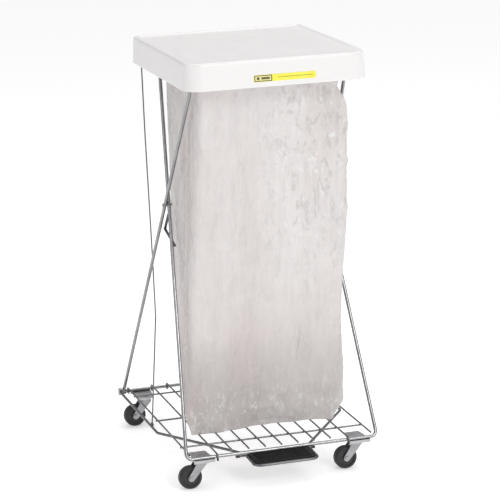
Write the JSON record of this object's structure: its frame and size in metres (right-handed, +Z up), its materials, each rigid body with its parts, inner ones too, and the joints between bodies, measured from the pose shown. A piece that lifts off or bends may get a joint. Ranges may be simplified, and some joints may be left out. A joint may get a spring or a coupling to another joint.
{
  "type": "linen trolley",
  "caption": "Folding wire trolley on casters that holds a laundry bag open under a white pedal-operated lid, over a wire shelf.",
  "frame": {"origin": "on the floor at the middle of the bounding box", "axes": "+Z up, +Y to the back rail, +X to the right side seen from the pedal"},
  "size_m": [0.451, 0.5774, 0.915],
  "materials": {
    "chrome": "polished",
    "wire": "bright plated",
    "zinc": "zinc plated",
    "dark_steel": "satin",
    "white_plastic": "satin moulded",
    "nylon": "satin",
    "label": "printed film",
    "bag": "thin translucent film",
    "black_plastic": "matt",
    "rubber": "ribbed",
    "tyre": "matt"
  },
  "bodies": {
    "front_stand": {"inner_leg_frame": "chrome", "front_caster_plate_left": "zinc", "front_caster_plate_right": "zinc", "front_kingpin_left": "zinc", "front_kingpin_right": "zinc", "leg_pivot_pins": "zinc", "leg_pivot_washers": "zinc", "leg_stop_clips": "dark_steel", "liner_bag": "bag"},
    "rear_stand": {"outer_leg_frame": "chrome", "back_rail": "chrome", "rear_caster_plate_left": "zinc", "rear_caster_plate_right": "zinc", "rear_kingpin_left": "zinc", "rear_kingpin_right": "zinc", "lever_sleeves": "nylon"},
    "shelf": {"shelf_long_wires": "wire", "shelf_side_wires": "wire", "shelf_hook_wires": "wire", "shelf_cross_wires": "wire", "shelf_hook_tips": "black_plastic"},
    "pedal": {"pedal_lever": "wire", "lever_eyes": "wire", "pedal_tray": "zinc", "pedal_pad": "rubber", "pedal_cross_rod": "wire", "pedal_rod_caps": "black_plastic", "lift_wire_stud": "wire"},
    "lid": {"lid_shell": "white_plastic", "lid_label": "label", "lid_hinge_straps": "zinc", "lid_strap_screws": "zinc", "lid_lift_lug": "zinc", "lid_hinge_sleeves": "nylon"},
    "lift_link": {"lift_wire": "wire"},
    "swivel_front_left": {"caster_fork_front_left": "zinc", "caster_axle_front_left": "zinc"},
    "wheel_front_left": {"wheel_hub_front_left": "black_plastic", "tyre_front_left": "tyre"},
    "swivel_front_right": {"caster_fork_front_right": "zinc", "caster_axle_front_right": "zinc"},
    "wheel_front_right": {"wheel_hub_front_right": "black_plastic", "tyre_front_right": "tyre"},
    "swivel_rear_left": {"caster_fork_rear_left": "zinc", "caster_axle_rear_left": "zinc"},
    "wheel_rear_left": {"wheel_hub_rear_left": "black_plastic", "tyre_rear_left": "tyre"},
    "swivel_rear_right": {"caster_fork_rear_right": "zinc", "caster_axle_rear_right": "zinc"},
    "wheel_rear_right": {"wheel_hub_rear_right": "black_plastic", "tyre_rear_right": "tyre"}
  },
  "joints": [
    {"name": "frame_fold", "type": "hinge", "parent": "front_stand", "child": "rear_stand", "pos_m": [0, -0.03772, 0.57488], "axis": [-1, 0, 0], "range_deg": [0, 7], "deforming": ["lift_wire", "liner_bag"]},
    {"name": "shelf_settle", "type": "hinge", "parent": "rear_stand", "child": "shelf", "pos_m": [0, 0.2806, 0.071], "axis": [1, 0, 0], "range_deg": [0, 2.46]},
    {"name": "pedal_press", "type": "hinge", "parent": "shelf", "child": "pedal", "pos_m": [0, 0.2806, 0.071], "axis": [1, 0, 0], "range_deg": [0, 2.51]},
    {"name": "lid_open", "type": "hinge", "parent": "front_stand", "child": "lid", "pos_m": [0, 0.0981, 0.906], "axis": [-1, 0, 0], "range_deg": [0, 30]},
    {"name": "lift_wire_swing", "type": "hinge", "parent": "lid", "child": "lift_link", "pos_m": [-0.1825, 0.1191, 0.903], "axis": [1, 0, 0], "range_deg": [0, 30.5]},
    {"name": "front_left_caster_swivel", "type": "hinge", "parent": "front_stand", "child": "swivel_front_left", "pos_m": [-0.174, -0.2224, 0.057], "axis": [0, 0, 1], "continuous": true},
    {"name": "front_left_wheel_spin", "type": "hinge", "parent": "swivel_front_left", "child": "wheel_front_left", "pos_m": [-0.2005, -0.2224, 0.025], "axis": [0, 1, 0], "continuous": true},
    {"name": "front_right_caster_swivel", "type": "hinge", "parent": "front_stand", "child": "swivel_front_right", "pos_m": [0.174, -0.2224, 0.057], "axis": [0, 0, 1], "continuous": true},
    {"name": "front_right_wheel_spin", "type": "hinge", "parent": "swivel_front_right", "child": "wheel_front_right", "pos_m": [0.1475, -0.2224, 0.025], "axis": [0, 1, 0], "continuous": true},
    {"name": "rear_left_caster_swivel", "type": "hinge", "parent": "rear_stand", "child": "swivel_rear_left", "pos_m": [-0.174, 0.2386, 0.057], "axis": [0, 0, 1], "continuous": true},
    {"name": "rear_left_wheel_spin", "type": "hinge", "parent": "swivel_rear_left", "child": "wheel_rear_left", "pos_m": [-0.2005, 0.2386, 0.025], "axis": [0, 1, 0], "continuous": true},
    {"name": "rear_right_caster_swivel", "type": "hinge", "parent": "rear_stand", "child": "swivel_rear_right", "pos_m": [0.174, 0.2386, 0.057], "axis": [0, 0, 1], "continuous": true},
    {"name": "rear_right_wheel_spin", "type": "hinge", "parent": "swivel_rear_right", "child": "wheel_rear_right", "pos_m": [0.1475, 0.2386, 0.025], "axis": [0, 1, 0], "continuous": true}
  ],
  "couplings": [
    {"joint": "shelf_settle", "follows": "frame_fold", "ratio": 0.35},
    {"joint": "pedal_press", "follows": "lid_open", "ratio": 0.083333},
    {"joint": "lift_wire_swing", "follows": "lid_open", "ratio": 1.015}
  ]
}
